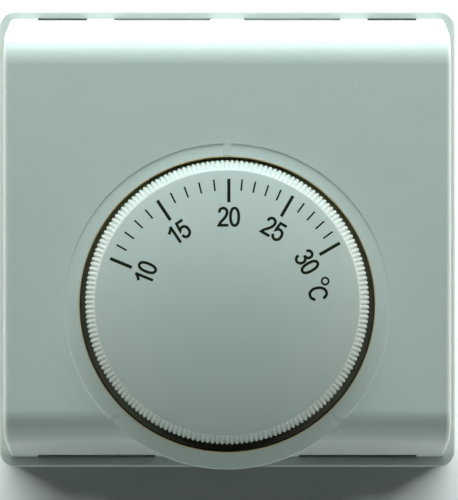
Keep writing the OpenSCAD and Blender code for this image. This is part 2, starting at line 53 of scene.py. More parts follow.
def place(x, up, out):
    return (x * MM, -out * MM, up * MM)


def extent(node):
    """The node's box in millimetres as ((x, x), (up, up), (out, out))."""
    low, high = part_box(node)
    return ((low.x / MM, high.x / MM), (low.z / MM, high.z / MM), (-high.y / MM, -low.y / MM))


def middle(pair):
    return (pair[0] + pair[1]) / 2


# ---------------------------------------------------------------- sizes
BASE = extent("base_plate")
COVER = extent("front_cover")
KNOB = extent("setting_knob")
BASE_SIDE = BASE[0][1] - BASE[0][0]
BASE_H = 9.5
BASE_CORNER = 3.0
BASE_WALL = 3.7
FLOOR_T = 2.2
COVER_W = COVER[0][1] - COVER[0][0]
COVER_L = 80.7
COVER_UP = 0.2
FACE = COVER[2][1]
COVER_T = 2.0
SHOULDER_R = 6.5
DRAFT = math.radians(11.5)
SIDE_FILLET = 1.1
VENT_H = 2.4
HOLE_UP = -11.8
HOLE_R = 26.4
RIM_UP = -12.2
COLLAR_R = 29.1
BOSS_R = 29.5
COLLAR_SINK = 0.06
COLLAR_FALL = 0.16
COLLAR_TOP = FACE - COLLAR_SINK
HOLE_BEVEL = 0.25
WELL_FLOOR = 24.0
WELL_UNDER = 22.5
WELL_WALL = 1.6
SCREW_UP = HOLE_UP - 19.5
KNOB_X = middle(KNOB[0])
KNOB_UP = middle(KNOB[1])
KNOB_R = (KNOB[0][1] - KNOB[0][0]) / 2
KNOB_TOP = KNOB[2][1]
SKIRT = KNOB[2][0]
KNOB_FACE_R = 23.6
CROWN = 2.6
KNOB_EDGE = KNOB_TOP - CROWN
GRIP_DROP = 2.2
KNOB_SKIN = 1.7
CROWN_BALL = (KNOB_FACE_R ** 2 + CROWN ** 2) / (2 * CROWN)
STOP_R = 15.0
PEG_R = 1.2
HUB_BORE_R = 2.0
HUB_R = 4.4
SPINDLE_HOLE_R = 5.6
SCREW_HOLE_R = 1.8
PILLAR_R = 3.0
LIP_T = 1.2
LIP_HALF = 30.0
FRAME_FOOT = (14.0, 13.0)       # half the distance between the frame's feet, across and up
WALL_SCREW_X = 30.0
SLOT_SIZE = (7.4, 4.2)
ENTRY_SIZE = (24.0, 10.5)
ENTRY_UP = 16.5
VENT_REACH = 4.0
VENT_SINK = 1.2
TOP_VENTS = ((-34.8, -25.8), (-20.8, -3.1), (3.1, 20.8), (25.8, 34.8))
LOW_VENTS = ((-34.8, -13.2), (13.2, 34.8))


# ---------------------------------------------------------------- mesh building
def mesh_object(name, points, faces):
    """Closed mesh from (x, up, out) points, with its normals turned outwards."""
    mesh = bpy.data.meshes.new(name)
    mesh.from_pydata([place(*p) for p in points], [], faces)
    bm = bmesh.new()
    bm.from_mesh(mesh)
    bmesh.ops.recalc_face_normals(bm, faces=bm.faces)
    bm.to_mesh(mesh)
    bm.free()
    obj = bpy.data.objects.new(name, mesh)
    bpy.context.scene.collection.objects.link(obj)
    return obj


def loft(name, loops):
    """Solid through loops with the same number of points, with flat ends."""
    count = len(loops[0])
    points = [p for loop in loops for p in loop]
    faces = []
    for i in range(len(loops) - 1):
        for k in range(count):
            a, b = i * count + k, i * count + (k + 1) % count
            faces.append((a, b, b + count, a + count))
    faces.append(tuple(range(count)))
    faces.append(tuple(range((len(loops) - 1) * count, len(loops) * count)))
    return mesh_object(name, points, faces)


def lathe(name, profile, centre, count, push=None):
    """Solid of revolution about the out axis. The profile is (r, out) from the axis round to the axis again.
    push(row, turn) is how far the point is moved along r."""
    points, faces, rows = [], [], []
    for i, (r, out) in enumerate(profile):
        if r < 1e-6:
            rows.append([len(points)] * count)
            points.append((centre[0], centre[1], out))
            continue
        rows.append(list(range(len(points), len(points) + count)))
        for k in range(count):
            turn = k / count
            rr = r + (push(i, turn) if push else 0.0)
            a = 2 * math.pi * turn
            points.append((centre[0] + rr * math.sin(a), centre[1] + rr * math.cos(a), out))
    for low, high in zip(rows, rows[1:]):
        for k in range(count):
            n = (k + 1) % count
            face = []
            for v in (low[k], low[n], high[n], high[k]):
                if v not in face:
                    face.append(v)
            faces.append(tuple(face))
    return mesh_object(name, points, faces)


def cylinder(name, centre, r, low, high, count=96):
    return lathe(name, [(0, low), (r, low), (r, high), (0, high)], centre, count)


def rounded_rect(w, l, r, out, steps=8, centre=(0.0, 0.0)):
    loop = []
    for q, (sx, sy) in enumerate(((1, 1), (-1, 1), (-1, -1), (1, -1))):
        for i in range(steps + 1):
            a = math.pi / 2 * (q + i / steps)
            loop.append((centre[0] + sx * (w / 2 - r) + r * math.cos(a),
                         centre[1] + sy * (l / 2 - r) + r * math.sin(a), out))
    return loop


def brick(name, low, high):
    """Box between two corners."""
    x = (low[0] + high[0]) / 2
    up = (low[1] + high[1]) / 2
    w, l = high[0] - low[0], high[1] - low[1]
    loops = []
    for out in (low[2], high[2]):
        loops.append([(x - w / 2, up - l / 2, out), (x + w / 2, up - l / 2, out),
                      (x + w / 2, up + l / 2, out), (x - w / 2, up + l / 2, out)])
    return loft(name, loops)


def combine(target, other, operation):
    """Boolean of two solids. The second one is used up."""
    modifier = target.modifiers.new("combine", "BOOLEAN")
    modifier.operation = operation
    modifier.solver = "MANIFOLD"
    modifier.object = other
    apply_modifiers(target)
    bpy.data.objects.remove(other)
    return target


def apply_modifiers(obj):
    bpy.context.view_layer.update()
    graph = bpy.context.evaluated_depsgraph_get()
    made = bpy.data.meshes.new_from_object(obj.evaluated_get(graph))
    obj.modifiers.clear()
    old = obj.data
    obj.data = made
    bpy.data.meshes.remove(old)


def join(target, others):
    """Puts other closed meshes into the target's mesh, without a boolean."""
    bm = bmesh.new()
    for obj in [target] + others:
        bm.from_mesh(obj.data)
    bm.to_mesh(target.data)
    bm.free()
    for obj in others:
        bpy.data.objects.remove(obj)
    return target


def smooth(obj, degrees=32, weighted=True):
    obj.data.shade_smooth()
    obj.data.set_sharp_from_angle(angle=math.radians(degrees))
    if weighted:
        modifier = obj.modifiers.new("normals", "WEIGHTED_NORMAL")
        modifier.keep_sharp = True
        modifier.weight = 100
    return obj


# ---------------------------------------------------------------- materials
def new_material(name):
    material = bpy.data.materials.new(name)
    material.use_nodes = True
    nodes, links = material.node_tree.nodes, material.node_tree.links
    nodes.clear()
    out = nodes.new("ShaderNodeOutputMaterial")
    shader = nodes.new("ShaderNodeBsdfPrincipled")
    links.new(shader.outputs["BSDF"], out.inputs["Surface"])
    where = nodes.new("ShaderNodeTexCoord")
    return material, nodes, links, shader, where


def noise(nodes, links, where, scale, detail=3.0, rough=0.5):
    node = nodes.new("ShaderNodeTexNoise")
    node.inputs["Scale"].default_value = scale
    node.inputs["Detail"].default_value = detail
    node.inputs["Roughness"].default_value = rough
    links.new(where.outputs["Object"], node.inputs["Vector"])
    return node


def spread(nodes, links, source, low, high):
    """Maps a noise value around 0.5 to the range low..high."""
    node = nodes.new("ShaderNodeMapRange")
    node.inputs["From Min"].default_value = 0.3
    node.inputs["From Max"].default_value = 0.7
    node.inputs["To Min"].default_value = low
    node.inputs["To Max"].default_value = high
    links.new(source, node.inputs["Value"])
    return node.outputs["Result"]


def tint(nodes, links, factor, first, second):
    node = nodes.new("ShaderNodeMix")
    node.data_type = "RGBA"
    node.inputs["A"].default_value = (*first, 1)
    node.inputs["B"].default_value = (*second, 1)
    links.new(factor, node.inputs["Factor"])
    return node.outputs["Result"]


def bump(nodes, links, shader, height, distance, strength=1.0, under=None):
    node = nodes.new("ShaderNodeBump")
    node.inputs["Distance"].default_value = distance
    node.inputs["Strength"].default_value = strength
    links.new(height, node.inputs["Height"])
    if under is not None:
        links.new(under, node.inputs["Normal"])
    links.new(node.outputs["Normal"], shader.inputs["Normal"])
    return node.outputs["Normal"]


def plastic(name, colour, other, rough=(0.42, 0.5), grain=0.00035, depth=0.000012, clouds=120,
            specular=0.5):
    """Moulded plastic: a fine spark-eroded grain, slow changes of tone and of gloss."""
    material, nodes, links, shader, where = new_material(name)
    slow = noise(nodes, links, where, clouds, 2)
    fine = noise(nodes, links, where, 1 / grain, 2, 0.6)
    speck = noise(nodes, links, where, 0.35 / grain, 3, 0.6)
    mixed = nodes.new("ShaderNodeMath")
    mixed.operation = "MULTIPLY_ADD"
    mixed.inputs[1].default_value = 0.35
    links.new(speck.outputs["Fac"], mixed.inputs[0])
    links.new(slow.outputs["Fac"], mixed.inputs[2])
    tone = spread(nodes, links, mixed.outputs["Value"], -0.2, 1.0)
    links.new(tint(nodes, links, tone, colour, other), shader.inputs["Base Color"])
    links.new(spread(nodes, links, speck.outputs["Fac"], *rough), shader.inputs["Roughness"])
    shader.inputs["Specular IOR Level"].default_value = specular
    bump(nodes, links, shader, fine.outputs["Fac"], depth)
    return material


def darken_inside(material, boxes, rings, dark, fade=None):
    """Painted shade inside the housing and the dial's well, and painted light on the well's top and the hole's
    edge: the colour given as dark is mixed in inside the boxes and rings. boxes are (half x, up, half up, low
    out, high out), rings are (up, r, high out), and fade is the up where the painted colour starts and the up
    where it is full, all in millimetres."""
    nodes, links = material.node_tree.nodes, material.node_tree.links
    shader = next(n for n in nodes if n.type == "BSDF_PRINCIPLED")
    where = nodes.new("ShaderNodeTexCoord")
    axes = nodes.new("ShaderNodeSeparateXYZ")
    links.new(where.outputs["Object"], axes.inputs["Vector"])

    def maths(operation, first, second):
        node = nodes.new("ShaderNodeMath")
        node.operation = operation
        for socket, value in zip(node.inputs, (first, second)):
            if isinstance(value, (int, float)):
                socket.default_value = value
            else:
                links.new(value, socket)
        return node.outputs["Value"]

    def near(value, centre, half):
        return maths("LESS_THAN", maths("ABSOLUTE", maths("SUBTRACT", value, centre * MM), 0.0), half * MM)

    x, y, z = axes.outputs["X"], axes.outputs["Y"], axes.outputs["Z"]
    total = 0.0
    for half_x, up, half_up, low, high in boxes:
        inside = maths("MULTIPLY", near(x, 0, half_x), near(z, up, half_up))
        inside = maths("MULTIPLY", inside, near(y, -(low + high) / 2, (high - low) / 2))
        total = maths("MAXIMUM", total, inside)
    for up, r, high in rings:
        flat = maths("SUBTRACT", z, up * MM)
        square = maths("ADD", maths("MULTIPLY", x, x), maths("MULTIPLY", flat, flat))
        inside = maths("MULTIPLY", maths("LESS_THAN", square, (r * MM) ** 2),
                       maths("GREATER_THAN", y, -high * MM))
        total = maths("MAXIMUM", total, inside)
    if fade:
        ramp = nodes.new("ShaderNodeMapRange")
        links.new(z, ramp.inputs["Value"])
        ramp.inputs["From Min"].default_value = fade[0] * MM
        ramp.inputs["From Max"].default_value = fade[1] * MM
        total = maths("MULTIPLY", total, ramp.outputs["Result"])
    colour = shader.inputs["Base Color"].links[0].from_socket
    node = nodes.new("ShaderNodeMix")
    node.data_type = "RGBA"
    links.new(colour, node.inputs["A"])
    node.inputs["B"].default_value = (*dark, 1)
    links.new(total, node.inputs["Factor"])
    links.new(node.outputs["Result"], shader.inputs["Base Color"])


def metal(name, colour, other, rough=(0.25, 0.4), scale=900, stretch=(1, 1, 1), depth=0.000008):
    """Rolled, plated or turned metal with stains and fine marks along one direction."""
    material, nodes, links, shader, where = new_material(name)
    turned = nodes.new("ShaderNodeMapping")
    turned.inputs["Scale"].default_value = stretch
    links.new(where.outputs["Object"], turned.inputs["Vector"])
    marks = nodes.new("ShaderNodeTexNoise")
    marks.inputs["Scale"].default_value = scale
    marks.inputs["Detail"].default_value = 4
    links.new(turned.outputs["Vector"], marks.inputs["Vector"])
    stains = noise(nodes, links, where, scale / 5, 3)
    tone = spread(nodes, links, stains.outputs["Fac"], 0, 1)
    links.new(tint(nodes, links, tone, colour, other), shader.inputs["Base Color"])
    links.new(spread(nodes, links, marks.outputs["Fac"], *rough), shader.inputs["Roughness"])
    shader.inputs["Metallic"].default_value = 1.0
    bump(nodes, links, shader, marks.outputs["Fac"], depth)
    return material


PLASTIC = (0.76, 0.805, 0.775)
PLASTIC_2 = (0.79, 0.825, 0.79)
MATERIALS = {
    "base_plastic": plastic("base_plastic", PLASTIC, PLASTIC_2, (0.4, 0.5), 0.0004, 0.00001),
    "cover_plastic": plastic("cover_plastic", PLASTIC, PLASTIC_2, (0.38, 0.48), 0.00035, 0.000012),
    "knob_plastic": plastic("knob_plastic", PLASTIC, PLASTIC_2, (0.34, 0.42), 0.0003, 0.000006),
    "zinc_steel": metal("zinc_steel", (0.62, 0.64, 0.66), (0.5, 0.53, 0.5), (0.28, 0.45), 700, (1, 1, 6)),
    "dark_steel": metal("dark_steel", (0.12, 0.11, 0.1), (0.2, 0.19, 0.18), (0.35, 0.5), 900),
    "spring_steel": metal("spring_steel", (0.55, 0.55, 0.56), (0.42, 0.42, 0.45), (0.22, 0.35), 1200),
    "brass": metal("brass", (0.78, 0.58, 0.26), (0.66, 0.46, 0.2), (0.22, 0.38), 1000, (1, 5, 1)),
    "capsule_bronze": metal("capsule_bronze", (0.72, 0.56, 0.34), (0.6, 0.45, 0.28), (0.25, 0.4), 600),
    "contact_copper": metal("contact_copper", (0.78, 0.45, 0.3), (0.6, 0.33, 0.22), (0.25, 0.42), 900,
                            (4, 1, 1)),
    "silver_contact": metal("silver_contact", (0.85, 0.84, 0.8), (0.7, 0.68, 0.62), (0.2, 0.35), 1400),
    "switch_plastic": plastic("switch_plastic", (0.05, 0.03, 0.022), (0.08, 0.05, 0.035), (0.35, 0.5), 0.0003),
    "lid_plastic": plastic("lid_plastic", (0.2, 0.035, 0.025), (0.26, 0.05, 0.03), (0.35, 0.5), 0.0003),
    "plunger_plastic": plastic("plunger_plastic", (0.85, 0.85, 0.82), (0.78, 0.78, 0.74), (0.3, 0.42), 0.0002),
    "block_plastic": plastic("block_plastic", (0.74, 0.74, 0.7), (0.8, 0.8, 0.77), (0.35, 0.5), 0.0003),
    "resistor_lacquer": plastic("resistor_lacquer", (0.5, 0.36, 0.2), (0.6, 0.44, 0.27), (0.2, 0.35), 0.0004),
    "tinned_wire": metal("tinned_wire", (0.7, 0.7, 0.7), (0.55, 0.55, 0.53), (0.25, 0.4), 1500),
    "lead_insulation": plastic("lead_insulation", (0.02, 0.06, 0.22), (0.03, 0.09, 0.3), (0.35, 0.5), 0.0003),
}
INK = plastic("scale_ink", (0.009, 0.013, 0.005), (0.018, 0.023, 0.01), (0.7, 0.85), 0.0003, 0.000004,
              specular=0.12)


# Painted shade and light: the inside of the cover and base and the well round the dial are painted darker, and
# the top of the well wall and the hole's edge are painted lighter and warmer.
SHADE = (0.035, 0.03, 0.022)
# Painted shade on the well's floor and wall, and a warm painted glow on the hole's edge that stands in for
# light through the plastic.
WELL_FLOOR_SHADE = (0.6, 0.56, 0.42)
WELL_WALL_SHADE = (0.12, 0.08, 0.04)
WELL_TOP_PAINTED_LIGHT = (0.8, 0.72, 0.34)
HOLE_EDGE_PAINTED_GLOW = (0.86, 0.66, 0.42)
# INSIDE_STEPS are (half up, low out, high out).
EDGE_MARGIN, WALL_MARGIN, EDGE_DEPTH, BEVEL_DEPTH = 0.2, 0.03, 0.04, 0.3
INSIDE_X = 38.15
INSIDE_BASE = 38.35
INSIDE_STEPS = ((38.35, 7, 11.5), (37.95, 11.5, 17), (36.85, 17, 22.5), (29, 22.5, 28.05))
# Painted shade: the inner surfaces of the cover are painted dark.
darken_inside(MATERIALS["cover_plastic"],
              [(INSIDE_X, COVER_UP, half, low, high) for half, low, high in INSIDE_STEPS], [], SHADE)
# Round the dial's hole: a painted glow on the edge, and painted shade on the well's wall and floor.
for r, top, shade in ((HOLE_R + EDGE_MARGIN, COLLAR_TOP - EDGE_DEPTH, HOLE_EDGE_PAINTED_GLOW),
                      (HOLE_R + WALL_MARGIN, COLLAR_TOP - BEVEL_DEPTH, WELL_WALL_SHADE),
                      (HOLE_R - WALL_MARGIN, WELL_FLOOR + 0.1, WELL_FLOOR_SHADE)):
    darken_inside(MATERIALS["cover_plastic"], [], [(HOLE_UP, r, top)], shade)
# Painted light: the top of the well's wall is painted lighter and warmer, fading out downwards.
darken_inside(MATERIALS["cover_plastic"], [], [(HOLE_UP, HOLE_R + WALL_MARGIN, COLLAR_TOP - BEVEL_DEPTH)],
              WELL_TOP_PAINTED_LIGHT, (HOLE_UP - 5, HOLE_UP + HOLE_R))
# Painted shade: the inner surfaces of the base are painted dark.
darken_inside(MATERIALS["base_plastic"], [(INSIDE_BASE, 0, INSIDE_BASE, FLOOR_T - 0.05, FACE)], [], SHADE)


def dress(obj, material):
    obj.data.materials.clear()
    obj.data.materials.append(material)


SLOT_OF = {part["node"]: part["material_slot"] for part in frame["record"]["subparts"]}
for node, obj in frame["nodes"].items():
    dress(obj, MATERIALS[SLOT_OF[node]])


# ---------------------------------------------------------------- cover
FACE_HALF = (COVER_L / 2 - SHOULDER_R * math.cos(DRAFT)
             - (FACE - SHOULDER_R + SHOULDER_R * math.sin(DRAFT) - BASE_H) * math.tan(DRAFT))


def side_view(inset, foot, foot_round=0.0, steps=20):
    """The cover's outline in (up, out), moved inwards by inset: foot, wall, rolled edge, face and back."""
    r = SHOULDER_R - inset
    right = []
    for i in range(steps + 1):
        a = (math.pi / 2 - DRAFT) * (1 - i / steps)
        right.append((FACE_HALF + r * math.sin(a), FACE - SHOULDER_R + r * math.cos(a)))
    start = right[0]

    def wall(out):
        return (start[0] + (start[1] - out) * math.tan(DRAFT), out)

    foot_points = [wall(foot)]
    if foot_round:
        up = wall(foot)[0]
        foot_points = [(up - foot_round, foot), (up - 0.3 * foot_round, foot + 0.3 * foot_round),
                       wall(foot + foot_round)]
    half = foot_points + right
    return ([(COVER_UP + up, out) for up, out in half]
            + [(COVER_UP - up, out) for up, out in reversed(half)])


def cover_solid(name, half_w, inset, fillet, foot, foot_round=0.0):
    """The side view run along the wall, rolled over at both ends by the fillet."""
    steps = 7
    ends = [(half_w - fillet + fillet * math.sin(a), inset + fillet * (1 - math.cos(a)))
            for a in (math.pi / 2 * i / steps for i in range(steps + 1))]
    loops = []
    for x, offset in [(-x, o) for x, o in reversed(ends)] + ends:
        loops.append([(x, up, out) for up, out in side_view(offset, foot, foot_round)])
    return loft(name, loops)


def vent_cutters():
    edge = COVER_L / 2 + 0.05
    bottom, top = BASE_H - VENT_SINK, BASE_H + VENT_H
    for low, high in TOP_VENTS:
        yield brick("vent", (low, COVER_UP + edge - VENT_REACH, bottom), (high, COVER_UP + edge, top))
    for low, high in LOW_VENTS:
        yield brick("vent", (low, COVER_UP - edge, bottom), (high, COVER_UP + VENT_REACH - edge, top))


def build_cover():
    cover = cover_solid("thermostat_cover", COVER_W / 2, 0.0, SIDE_FILLET, BASE_H, 0.25)
    edge = 0.35
    rim_out = COLLAR_TOP - COLLAR_FALL
    boss = lathe("boss", [(0, BASE_H), (BOSS_R, BASE_H), (COLLAR_R + 0.01, rim_out - edge)]
                 + [(COLLAR_R - edge + edge * math.cos(a), rim_out - edge + edge * math.sin(a))
                    for a in (math.pi / 2 * i / 5 for i in range(1, 6))]
                 + [(HOLE_R - 1, COLLAR_TOP), (0, COLLAR_TOP)],
                 (0, RIM_UP), 256)
    combine(cover, boss, "UNION")
    hollow = cover_solid("hollow", COVER_W / 2 - COVER_T, COVER_T, 0.6, BASE_H - 1)
    combine(cover, hollow, "DIFFERENCE")
    well = cylinder("well", (0, HOLE_UP), HOLE_R + WELL_WALL, WELL_UNDER, COLLAR_TOP - 0.02, 192)
    combine(cover, well, "UNION")
    lip = 0.05
    recess = lathe("recess", [(0, COLLAR_TOP), (HOLE_R - 1, COLLAR_TOP), (COLLAR_R, rim_out),
                              (COLLAR_R + 0.04, FACE - lip),
                              (COLLAR_R + 0.1, FACE - 0.4 * lip), (COLLAR_R + 0.16, FACE + 0.01),
                              (COLLAR_R + 0.16, FACE + 3), (0, FACE + 3)], (0, RIM_UP), 256)
    combine(cover, recess, "DIFFERENCE")
    bar_low, bar_high, half = HOLE_UP + HOLE_R + 0.3, RIM_UP + COLLAR_R + 0.6, 0.75
    soft = 0.12
    bar = loft("bar", [
        [(-half, bar_low, FACE - 1.2), (half, bar_low, FACE - 1.2), (half, bar_high, FACE - 1.2),
         (-half, bar_high, FACE - 1.2)],
        [(-half, bar_low, FACE - soft), (half, bar_low, FACE - soft), (half, bar_high, FACE - soft),
         (-half, bar_high, FACE - soft)],
        [(soft - half, bar_low + soft, FACE - 0.005), (half - soft, bar_low + soft, FACE - 0.005),
         (half - soft, bar_high, FACE - 0.005), (soft - half, bar_high, FACE - 0.005)]])
    combine(cover, bar, "UNION")
    hole = lathe("hole", [(0, WELL_FLOOR), (HOLE_R, WELL_FLOOR), (HOLE_R, COLLAR_TOP - HOLE_BEVEL),
                          (HOLE_R + HOLE_BEVEL, COLLAR_TOP + 0.01), (HOLE_R + HOLE_BEVEL, FACE + 3),
                          (0, FACE + 3)], (0, HOLE_UP), 256)
    combine(cover, hole, "DIFFERENCE")
    combine(cover, cylinder("bore", (0, KNOB_UP), SPINDLE_HOLE_R, WELL_UNDER - 1, WELL_FLOOR + 1), "DIFFERENCE")
    combine(cover, cylinder("bore", (0, SCREW_UP), SCREW_HOLE_R, WELL_UNDER - 1, WELL_FLOOR + 1), "DIFFERENCE")
    pegs = extent("limit_pegs")
    for x in (pegs[0][0] + PEG_R, pegs[0][1] - PEG_R):
        rise = math.sqrt(STOP_R ** 2 - x ** 2)
        above = (abs(KNOB_UP + rise + PEG_R - pegs[1][1]) < 0.3
                 or abs(KNOB_UP + rise - PEG_R - pegs[1][0]) < 0.3)
        at = (x, KNOB_UP + rise if above else KNOB_UP - rise)
        combine(cover, cylinder("bore", at, PEG_R, WELL_UNDER - 1, WELL_FLOOR + 1, 48), "DIFFERENCE")
    for cutter in vent_cutters():
        combine(cover, cutter, "DIFFERENCE")
    smooth(cover, 30)
    dress(cover, MATERIALS["cover_plastic"])
    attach(cover, "housing")
    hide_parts("front_cover")
    return cover


# ---------------------------------------------------------------- base
def build_base():
    foot, brow = 0.3, 0.45
    loops = [rounded_rect(BASE_SIDE - 2 * foot, BASE_SIDE - 2 * foot, BASE_CORNER - foot, 0),
             rounded_rect(BASE_SIDE, BASE_SIDE, BASE_CORNER, foot)]
    for i in range(6):
        a = math.pi / 2 * i / 5
        inset = brow * (1 - math.cos(a))
        loops.append(rounded_rect(BASE_SIDE - 2 * inset, BASE_SIDE - 2 * inset, BASE_CORNER - inset,
                                  BASE_H - brow + brow * math.sin(a)))
    base = loft("wall_base", loops)
    room = BASE_SIDE - 2 * BASE_WALL
    tray = loft("tray", [rounded_rect(room, room, 1.5, out) for out in (FLOOR_T, BASE_H + 5)])
    combine(base, tray, "DIFFERENCE")
    lip_x = COVER_W / 2 - COVER_T - 0.2
    for s in (-1, 1):
        xs = sorted((s * lip_x, s * (lip_x - LIP_T)))
        lip = loft("lip", [[(xs[0] + c, c - LIP_HALF, out), (xs[1] - c, c - LIP_HALF, out),
                            (xs[1] - c, LIP_HALF - c, out), (xs[0] + c, LIP_HALF - c, out)]
                           for c, out in ((0, FLOOR_T - 0.5), (0, BASE_H + 2.2), (0.3, BASE_H + 2.5))])
        combine(base, lip, "UNION")
    for sx in (-1, 1):
        for sy in (-1, 1):
            foot_at = (sx * FRAME_FOOT[0], KNOB_UP + sy * FRAME_FOOT[1])
            combine(base, cylinder("foot", foot_at, 2.6, FLOOR_T - 0.5, FLOOR_T + 2, 64), "UNION")
            combine(base, cylinder("bore", foot_at, 1.0, FLOOR_T - 1.4, FLOOR_T + 5, 48), "DIFFERENCE")
    pillar = lathe("pillar", [(0, FLOOR_T - 0.5), (PILLAR_R + 0.3, FLOOR_T - 0.5), (PILLAR_R, FLOOR_T + 6),
                              (PILLAR_R, WELL_UNDER - 0.1), (0, WELL_UNDER - 0.1)], (0, SCREW_UP), 64)
    combine(base, pillar, "UNION")
    combine(base, cylinder("bore", (0, SCREW_UP), 1.6, WELL_UNDER - 11, WELL_UNDER + 3, 48), "DIFFERENCE")
    for s in (-1, 1):
        slot = [rounded_rect(*SLOT_SIZE, 2.09, out, 8, (s * WALL_SCREW_X, 0)) for out in (-1, 3)]
        combine(base, loft("slot", slot), "DIFFERENCE")
    entry = [rounded_rect(*ENTRY_SIZE, 2, out, 8, (0, ENTRY_UP)) for out in (-1, 3)]
    combine(base, loft("entry", entry), "DIFFERENCE")
    for cutter in vent_cutters():
        combine(base, cutter, "DIFFERENCE")
    smooth(base, 30)
    dress(base, MATERIALS["base_plastic"])
    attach(base, "housing")
    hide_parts("base_plate")
    return base


# ---------------------------------------------------------------- dial
TEETH = 180
TOOTH_SIDES = 6
TOOTH_DEPTH = 0.44


def dome(r):
    """Height of the dial's crown at a distance from its axis."""
    return KNOB_TOP - CROWN_BALL + math.sqrt(CROWN_BALL ** 2 - r * r)


def build_knob():
    corner = KNOB_EDGE - GRIP_DROP
    bore_top = SKIRT + 7.4
    under = KNOB_EDGE - KNOB_SKIN
    face_round = KNOB_FACE_R - 0.18
    # (r, out, how deep the teeth are cut there)
    rows = [(0, bore_top, 0), (HUB_BORE_R, bore_top, 0), (HUB_BORE_R, SKIRT + 0.3, 0),
            (HUB_R, SKIRT + 0.3, 0), (HUB_R, under, 0), (KNOB_R - KNOB_SKIN, under, 0),
            (KNOB_R - KNOB_SKIN, SKIRT, 0), (KNOB_R - 0.25, SKIRT, 0), (KNOB_R, SKIRT + 0.25, 0),
            (KNOB_R, SKIRT + 2.6, 0), (KNOB_R, SKIRT + 3.0, 0.9), (KNOB_R, corner - 0.35, 1),
            (KNOB_R - 0.03, corner - 0.12, 1), (KNOB_R - 0.12, corner + 0.1, 1)]
    slope = 14
    for i in range(1, slope + 1):
        s = 0.07 + 0.9 * i / slope
        rows.append((KNOB_R + (KNOB_FACE_R - KNOB_R) * s, corner + GRIP_DROP * s,
                     max(0.0, 1 - s) ** 0.75))
    rows += [(KNOB_FACE_R - 0.05, dome(KNOB_FACE_R), 0), (face_round, dome(face_round), 0)]
    rings = 18
    rows += [(face_round * (1 - i / rings), dome(face_round * (1 - i / rings)), 0) for i in range(1, rings + 1)]

    def push(i, turn):
        return -TOOTH_DEPTH * rows[i][2] * (1 - abs(math.cos(math.pi * turn * TEETH)))

    knob = lathe("dial_knob", [(r, out) for r, out, _ in rows], (KNOB_X, KNOB_UP), TEETH * TOOTH_SIDES, push)
    stop = brick("stop", (-1.5, KNOB_UP - STOP_R - 1.5, SKIRT + 0.2),
                 (1.5, KNOB_UP - STOP_R + 1.5, KNOB_EDGE - 1))
    ribs = []
    for turn in (0, 120, 240):
        a = math.radians(turn)
        along, across = (math.sin(a), math.cos(a)), (math.cos(a), -math.sin(a))
        loops = []
        for out in (KNOB_EDGE - 4, KNOB_EDGE - 1):
            loops.append([(KNOB_X + along[0] * r + across[0] * t, KNOB_UP + along[1] * r + across[1] * t, out)
                          for r, t in ((4, -0.6), (KNOB_R - 1.5, -0.6), (KNOB_R - 1.5, 0.6), (4, 0.6))])
        ribs.append(loft("rib", loops))
    join(knob, [stop] + ribs)
    smooth(knob, 40, False)
    dress(knob, MATERIALS["knob_plastic"])
    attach(knob, "dial")
    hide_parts("setting_knob")
    return knob


# ---------------------------------------------------------------- printed scale
SCALE_X = KNOB_X + 0.3          # the print sits a little off the dial's axis
SCALE_UP = KNOB_UP - 0.8
SCALE_R = 22.8
NUMBER_R = 16.03
STROKE = 0.5
INK_T = 0.012
MINOR_MARK = (2.05, 0.3)        # length and width
MAJOR_MARK = (4.2, 0.58)
DEGREE_AT = (math.radians(74.9), 17.72)
LETTER_AT = (math.radians(81.5), 16.04)


def scale_angle(celsius):
    """Clockwise from straight up. The scale is a little wider below 20 degrees than above."""
    return math.radians((celsius - 20) * (6.775 if celsius < 20 else 6.0))


def on_dial(u, v, angle, radius):
    """Point of a mark: u to its right, v to its top, centred at a radius and angle of the scale."""
    x = SCALE_X + radius * math.sin(angle) + u * math.cos(angle) + v * math.sin(angle)
    up = SCALE_UP + radius * math.cos(angle) - u * math.sin(angle) + v * math.cos(angle)
    return x, up, dome(math.hypot(x - KNOB_X, up - KNOB_UP))


def curve(points, steps=5):
    """Smooth line through points."""
    line = []
    for i in range(len(points) - 1):
        a, b = points[max(i - 1, 0)], points[i]
        c, d = points[i + 1], points[min(i + 2, len(points) - 1)]
        for k in range(steps):
            t = k / steps
            line.append(tuple(0.5 * (2 * b[n] + (c[n] - a[n]) * t
                                     + (2 * a[n] - 5 * b[n] + 4 * c[n] - d[n]) * t * t
                                     + (3 * b[n] - a[n] - 3 * c[n] + d[n]) * t ** 3) for n in (0, 1)))
    return line + [points[-1]]


def ring_line(rx, ry, start=0.0, stop=360.0, power=2.0, steps=40):
    line = []
    for i in range(steps + 1):
        a = math.radians(start + (stop - start) * i / steps)
        c, s = math.cos(a), math.sin(a)
        line.append((rx * math.copysign(abs(c) ** (2 / power), c),
                     ry * math.copysign(abs(s) ** (2 / power), s)))
    return line


def short_steps(line, most=0.7):
    """The same line with more points, so that its mesh follows the dome."""
    made = [line[0]]
    for a, b in zip(line, line[1:]):
        parts = math.ceil(math.dist(a, b) / most)
        made += [(a[0] + (b[0] - a[0]) * k / parts, a[1] + (b[1] - a[1]) * k / parts)
                 for k in range(1, parts + 1)]
    return made


